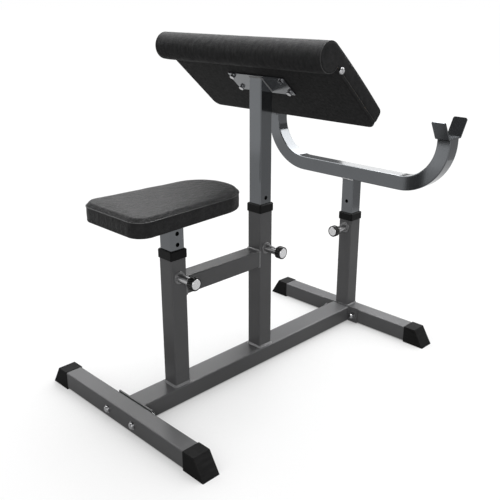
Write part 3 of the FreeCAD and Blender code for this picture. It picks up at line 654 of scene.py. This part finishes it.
TILT = math.radians(42.3)
ARM_X = (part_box("arm_tube")[0].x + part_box("arm_tube")[1].x) / 2
ROLL_TO_TUBE = 81.5 * MM
ROLL_HEIGHT = 926.5 * MM
ROLL_RADIUS = 38.75 * MM
ROLL = Vector((ARM_X - ROLL_TO_TUBE, 0, ROLL_HEIGHT))
PAD = Matrix.Translation(ROLL) @ Matrix.Rotation(TILT, 4, "Y")
TO_PAD = PAD.inverted()
PAD_LENGTH = 271.5 * MM
PAD_HALF = 304.25 * MM
PAD_CORNER = 22 * MM
PAD_EDGE = 6 * MM
PAD_OFFSET = 2 * MM
PAD_SHRINK = 1.2 * MM
END_SHRINK = 0.6 * MM
EDGE_LIFT = 0.6
FACE_BOW = 2.5 * MM
LOWER_ROUND = 11 * MM
BACK_ROUND = 4 * MM
PAD_VOXEL = 6 * MM
PAD_SWELL = 1.4 * MM
BOARD_MARGIN = 4 * MM
BOARD_BAND = 5 * MM
SMOOTH_BAND = 8 * MM
END_SLOPE = 0.1
WAVES_ACROSS = 42
WAVES_ROUND = 24
WAVE_DEPTH = 0.14 * MM
WAVE_FADE = 20 * MM
WELT_TURN = math.radians(62)
WELT_SHRINK = 0.8 * MM
PAD_WELT = 0.9 * MM


def pad_profile(end, inset, shrink):
    """One slice of the arm cushion, as pairs down the slope and off it."""
    r = ROLL_RADIUS - inset - shrink
    low = PAD_OFFSET + EDGE_LIFT * inset
    face_end = end - shrink - LOWER_ROUND
    back_end = end - shrink - BACK_ROUND
    reach = math.sqrt(r * r - low * low)
    first = math.asin(low / r)
    points = []
    for t in steps(24)[:-1]:
        points.append((face_end * t, r + FACE_BOW * 4 * t * (1 - t)))
    for t in steps(8):
        turn = QUARTER * (1 - t)
        off = r - LOWER_ROUND + LOWER_ROUND * math.sin(turn)
        points.append((face_end + LOWER_ROUND * math.cos(turn), off))
    for t in steps(5):
        turn = -QUARTER * t
        off = low + BACK_ROUND + BACK_ROUND * math.sin(turn)
        points.append((back_end + BACK_ROUND * math.cos(turn), off))
    for t in steps(20)[1:-1]:
        points.append((back_end + (reach - back_end) * t, low))
    for t in steps(48)[:-1]:
        turn = first - (first + 3 * QUARTER) * t
        points.append((r * math.cos(turn), r * math.sin(turn)))
    return points


def pad_station(turn):
    """A slice on the round lower corner: how far out it is, where its slope ends and its inset."""
    out = PAD_HALF - PAD_CORNER + PAD_CORNER * math.sin(turn)
    end = PAD_LENGTH - PAD_CORNER + PAD_CORNER * math.cos(turn)
    past = max(0.0, out - PAD_HALF + PAD_EDGE)
    return out, end, PAD_EDGE - math.sqrt(max(0.0, PAD_EDGE * PAD_EDGE - past * past))


def pad_stations():
    """Slices along the pad's width, from right to left."""
    middle = [((PAD_HALF - PAD_CORNER) * t, PAD_LENGTH, 0.0) for t in steps(42)[:-1]]
    half = middle + [pad_station(QUARTER * t) for t in steps(24)]
    return [(-out, end, inset) for out, end, inset in reversed(half[1:])] + half


def pad_swell(point):
    """How far the arm pad may swell: nothing where it lies on the board, less towards its ends."""
    local = TO_PAD @ point
    if local.x > ROLL_RADIUS - BOARD_MARGIN and local.z < PAD_OFFSET + BOARD_BAND:
        return 0.0
    return min(PAD_SWELL, END_SLOPE * max(0.0, PAD_HALF - abs(local.y)))


def pad_waves(pad):
    """Fine waves in the vinyl, on the face and round the roll, that fade out at the ends."""
    for v in pad.data.vertices:
        local = TO_PAD @ v.co
        if local.x > ROLL_RADIUS and local.z < PAD_OFFSET + SMOOTH_BAND:
            continue
        on_roll = local.x < 0 or local.z < 0
        out = Vector((local.x, 0, local.z)).normalized() if on_roll else UP
        place = Vector((local.y * WAVES_ACROSS, local.x * WAVES_ROUND, local.z * WAVES_ROUND))
        wave = ripple(place, finer=2.1)
        fade = min(1.0, max(0.0, (PAD_HALF - abs(local.y)) / WAVE_FADE))
        v.co = PAD @ (local + out * (WAVE_DEPTH * wave * fade))


def arm_cushion():
    rings = []
    for out, end, inset in pad_stations():
        out *= 1 - END_SHRINK / PAD_HALF
        rings.append([PAD @ Vector((s, out, n)) for s, n in pad_profile(end, inset, PAD_SHRINK)])
    pad = rings_object("arm_pad", rings)
    settle(pad, PAD_VOXEL, pad_swell)
    pad_waves(pad)
    dress(pad, "arm_rest", "cushion_vinyl", "pad_vinyl")
    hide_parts("arm_cushion")
    out, end, inset = pad_station(WELT_TURN)
    for name, side in (("left", 1), ("right", -1)):
        path = [PAD @ Vector((s, side * out, n)) for s, n in pad_profile(end, inset, WELT_SHRINK)]
        welt = tube_object("arm_pad_welt_" + name, path, PAD_WELT)
        dress(welt, "arm_rest", "cushion_vinyl", "welt_vinyl")


# Back cover of the arm pad, drawn in the same frame; the lip and the flat are rows of millimetres

COVER_START = ROLL_RADIUS + 0.5 * MM
COVER_HALF = PAD_HALF - 1 * MM
COVER_END = PAD_LENGTH - 1 * MM
COVER_CORNER = 5 * MM
LEAST_NEAR = 1 * MM
LEAST_FAR = 2 * MM
COVER_ROUND = 3.2 * MM
COVER_BACK = -8.5 * MM
COVER_LIP = ((6.0, 0.0), (3.0, 0.0), (1.2, 0.5), (0.3, 1.4), (0.0, 2.6))
COVER_FLAT = (5, 9, 16, 24)


def cover_outline(inset, height):
    half = COVER_HALF - inset
    start = COVER_START + inset
    end = COVER_END - inset
    corners = [(start, -half), (end, -half), (end, half), (start, half)]
    near = max(LEAST_NEAR, COVER_CORNER - inset)
    far = max(LEAST_FAR, PAD_CORNER - inset)
    flat = rounded_outline(corners, (near, far, far, near), arc=12, line=40)
    return [PAD @ Vector((p.x, p.y, height)) for p in flat]


def back_cover():
    """The vinyl stretched over the back and the edges of the board, with soft edges."""
    rings = [cover_outline(inset * MM, PAD_OFFSET - drop * MM) for inset, drop in COVER_LIP]
    for t in steps(8):
        turn = QUARTER * t
        inset = COVER_ROUND - COVER_ROUND * math.cos(turn)
        rings.append(cover_outline(inset, COVER_BACK + COVER_ROUND - COVER_ROUND * math.sin(turn)))
    for inset in COVER_FLAT:
        rings.append(cover_outline(inset * MM, COVER_BACK))
    cover = rings_object("arm_back_skin", rings)
    dress(cover, "arm_rest", "back_vinyl")
    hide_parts("arm_back_cover")


# Pin springs

SPRING_TURNS = 8
SPRING_WIRE = 1.6 * MM
SPRING_GAP = 0.1 * MM


def spring_path(start, end, radius, steps=20):
    """Points of a coil between two points of its axis."""
    side = (end - start).normalized().cross(UP)
    count = SPRING_TURNS * steps
    points = []
    for i in range(count + 1):
        angle = 2 * math.pi * i / steps
        reach = (UP * math.cos(angle) + side * math.sin(angle)) * radius
        points.append(start.lerp(end, i / count) + reach)
    return points


def pin_spring(joint):
    """A coil in place of a pin's spring, along the pin's axis and within the spring's box."""
    node = joint["child"] + "_spring"
    low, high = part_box(node)
    middle = (low + high) / 2
    axis = Vector(joint["axis"])
    length = abs((high - low).dot(axis))
    radius = (high.z - low.z - SPRING_WIRE) / 2
    half = axis * ((length - SPRING_WIRE) / 2 - SPRING_GAP)
    path = spring_path(middle - half, middle + half, radius)
    coil = tube_object(joint["child"] + "_coil", path, SPRING_WIRE / 2, closed=False)
    dress(coil, "frame", "pin_steel")
    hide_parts(node)
    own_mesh(coil)


seat_cushion()
arm_cushion()
back_cover()
for joint in frame["record"]["behaviour"]["joints"]:
    if joint["name"].endswith("_pin_pull"):
        pin_spring(joint)


# Floor, light and camera

SEEN_RAYS = ("Is Camera Ray", "Is Glossy Ray", "Is Transmission Ray")
FLOOR_HALF = 60.0
FLOOR_BOUNCE = 0.14
FLOOR_SHADED = 0.13
PAINTED_SHADOW_REACH = 0.25
NEAR_WHITE = 0.808
FAR_WHITE = 0.985
PAINTED_SHADOW_WHITE = 0.3
PAINTED_GLOSS_SHADE = 0.6
WORLD_LIGHT = 0.28
CEILING_LIGHT = 0.15
CARD_LIGHT = 0.6
CAMERA_PLACE = (-1.3629, -1.3383, 1.0560)
CAMERA_YAW = math.radians(45)
CAMERA_PITCH = math.radians(-20)


def empty_tree(owner, output):
    """The emptied node tree of a material or a world, and the place where its surface goes."""
    owner.use_nodes = True
    tree = owner.node_tree
    tree.nodes.clear()
    return tree, tree.nodes.new(output).inputs["Surface"]


def ray_is(tree, *names):
    """One where the ray is of any of the named kinds."""
    path = tree.nodes.new("ShaderNodeLightPath")
    value = path.outputs[names[0]]
    for name in names[1:]:
        value = combined(tree, "MAXIMUM", value, path.outputs[name])
    return value


def mixed(tree, factor, first, second):
    """The first shader where the factor is nought, the second where it is one."""
    node = tree.nodes.new("ShaderNodeMixShader")
    tree.links.new(factor, node.inputs[0])
    tree.links.new(first.outputs[0], node.inputs[1])
    tree.links.new(second.outputs[0], node.inputs[2])
    return node.outputs[0]


def diffuse(tree, grey):
    node = tree.nodes.new("ShaderNodeBsdfDiffuse")
    node.inputs["Color"].default_value = (grey, grey, grey, 1)
    return node


def background(tree):
    node = tree.nodes.new("ShaderNodeBackground")
    node.inputs["Color"].default_value = (1, 1, 1, 1)
    return node


def floor_white(tree):
    """How white the floor's glow is: less so near the part, where the lamps light the floor more; darker
    under the part, a painted shadow; and dimmer to the gloss near the part, a painted shade in reflections.
    """
    away = tree.nodes.new("ShaderNodeVectorMath")
    away.operation = "LENGTH"
    tree.links.new(tree.nodes.new("ShaderNodeTexCoord").outputs["Object"], away.inputs[0])
    distance = away.outputs["Value"]
    # A painted shadow: the glow is darkened where the part stands over the floor.
    painted_shadow = tree.nodes.new("ShaderNodeAmbientOcclusion")
    painted_shadow.samples = 8
    painted_shadow.inputs["Distance"].default_value = PAINTED_SHADOW_REACH
    far = ramp(tree, distance, NEAR_WHITE, FAR_WHITE, low=1.0, high=4.8)
    under = ramp(tree, painted_shadow.outputs["AO"], PAINTED_SHADOW_WHITE, 1.0, low=0.0, high=1.0)
    # A painted shade in reflections: the gloss sees the floor's glow dimmer near the part.
    painted_gloss_shade = ramp(tree, distance, PAINTED_GLOSS_SHADE, 1.0, low=0.6, high=1.2)
    gloss = combined(tree, "MAXIMUM", painted_gloss_shade, ray_is(tree, "Is Camera Ray"))
    return combined(tree, "MULTIPLY", combined(tree, "MULTIPLY", far, under), gloss)


def floor():
    """A pale floor; what the camera and the gloss see of it is lifted to white, and keeps its shadows; that
    white glow is darkened under the part by a painted shadow, and dimmed to the gloss near the part by a
    painted shade.
    """
    half = FLOOR_HALF
    corners = [(-half, -half, 0), (half, -half, 0), (half, half, 0), (-half, half, 0)]
    plane = mesh_object("floor", corners, [(0, 1, 2, 3)])
    mat = bpy.data.materials.new("pale_floor")
    tree, surface = empty_tree(mat, "ShaderNodeOutputMaterial")
    glow = tree.nodes.new("ShaderNodeEmission")
    tree.links.new(floor_white(tree), glow.inputs["Strength"])
    seen = tree.nodes.new("ShaderNodeAddShader")
    tree.links.new(diffuse(tree, FLOOR_SHADED).outputs[0], seen.inputs[0])
    tree.links.new(glow.outputs[0], seen.inputs[1])
    tree.links.new(mixed(tree, ray_is(tree, *SEEN_RAYS), diffuse(tree, FLOOR_BOUNCE), seen), surface)
    mat.cycles.emission_sampling = "NONE"
    plane.data.materials.append(mat)


def world():
    """Even soft light; the gloss sees a white horizon under a dimmer ceiling, the camera plain white."""
    scene.world = bpy.data.worlds.new("studio")
    tree, surface = empty_tree(scene.world, "ShaderNodeOutputWorld")
    soft = background(tree)
    soft.inputs["Strength"].default_value = WORLD_LIGHT
    white = background(tree)
    height = tree.nodes.new("ShaderNodeSeparateXYZ")
    tree.links.new(tree.nodes.new("ShaderNodeTexCoord").outputs["Generated"], height.inputs["Vector"])
    dimmer = ramp(tree, height.outputs["Z"], 1.0, CEILING_LIGHT, low=0.02, high=0.12)
    lit = combined(tree, "MAXIMUM", ray_is(tree, "Is Camera Ray"), dimmer)
    tree.links.new(lit, white.inputs["Strength"])
    tree.links.new(mixed(tree, ray_is(tree, *SEEN_RAYS), soft, white), surface)


def area_light(name, place, target, size, power, sheen_only=False):
    """A rectangular lamp; one for the sheen alone adds nothing to the diffuse light."""
    lamp = bpy.data.lights.new(name, "AREA")
    lamp.shape = "RECTANGLE"
    lamp.size, lamp.size_y = size
    lamp.energy = power
    obj = bpy.data.objects.new(name, lamp)
    obj.location = place
    obj.rotation_mode = "QUATERNION"
    obj.rotation_quaternion = (Vector(target) - Vector(place)).to_track_quat("-Z", "Y")
    obj.visible_camera = False
    obj.visible_diffuse = not sheen_only
    scene.collection.objects.link(obj)


def sheen_light(name, place, target, size, power):
    """A lamp that shows in the sheen alone."""
    area_light(name, place, target, size, power, sheen_only=True)


def grey_card(name, foot, facing, half_width, height):
    """A standing card that only the gloss sees, so that the bright tubes are darker on one side."""
    across = Vector(facing).cross(UP).normalized() * half_width
    right = Vector(foot) - across
    left = Vector(foot) + across
    card = mesh_object(name, [right, left, left + UP * height, right + UP * height], [(0, 1, 2, 3)])
    mat = bpy.data.materials.new(name)
    tree, surface = empty_tree(mat, "ShaderNodeOutputMaterial")
    glow = tree.nodes.new("ShaderNodeEmission")
    glow.inputs["Strength"].default_value = CARD_LIGHT
    tree.links.new(glow.outputs[0], surface)
    mat.cycles.emission_sampling = "NONE"
    card.data.materials.append(mat)
    card.visible_camera = False
    card.visible_diffuse = False
    card.visible_shadow = False


def camera():
    data = bpy.data.cameras.new("photo_view")
    data.lens = 50
    data.sensor_width = 36
    data.clip_start = 0.05
    data.clip_end = 100
    obj = bpy.data.objects.new("photo_view", data)
    obj.location = CAMERA_PLACE
    level = math.cos(CAMERA_PITCH)
    ahead = Vector((math.cos(CAMERA_YAW) * level, math.sin(CAMERA_YAW) * level, math.sin(CAMERA_PITCH)))
    obj.rotation_mode = "QUATERNION"
    obj.rotation_quaternion = ahead.to_track_quat("-Z", "Y")
    scene.collection.objects.link(obj)
    scene.camera = obj


floor()
world()
area_light("overhead", place=(0.75, 0.35, 2.9), target=(0.05, 0.0, 0.3), size=(1.9, 2.4), power=195)
area_light("front", place=(-2.3, -2.7, 1.7), target=(0.0, 0.0, 0.5), size=(2.0, 2.0), power=45)
sheen_light("sheen", place=(0.3, 1.8, 2.05), target=(0.0, 0.0, 0.3), size=(3.0, 1.6), power=58)
sheen_light("left", place=(-1.5, 1.9, 0.9), target=(0.0, 0.0, 0.6), size=(1.4, 1.6), power=2.5)
sheen_light("low_left", place=(-1.7, 0.9, 0.22), target=(0.0, 0.9, 0.22), size=(0.7, 0.4), power=0.6)
sheen_light("right", place=(2.5, 0.04, 2.1), target=(0.0, 0.04, 2.1), size=(3.08, 1.2), power=79)
sheen_light("far_right", place=(8.0, 4.8, 2.7), target=(0.0, 4.8, 2.7), size=(2.0, 0.8), power=11)
grey_card("grey_card", foot=(1.3, -1.07, 0.0), facing=(-0.74, 0.67, 0.0), half_width=0.95, height=0.72)
camera()
scene.view_settings.view_transform = "Standard"
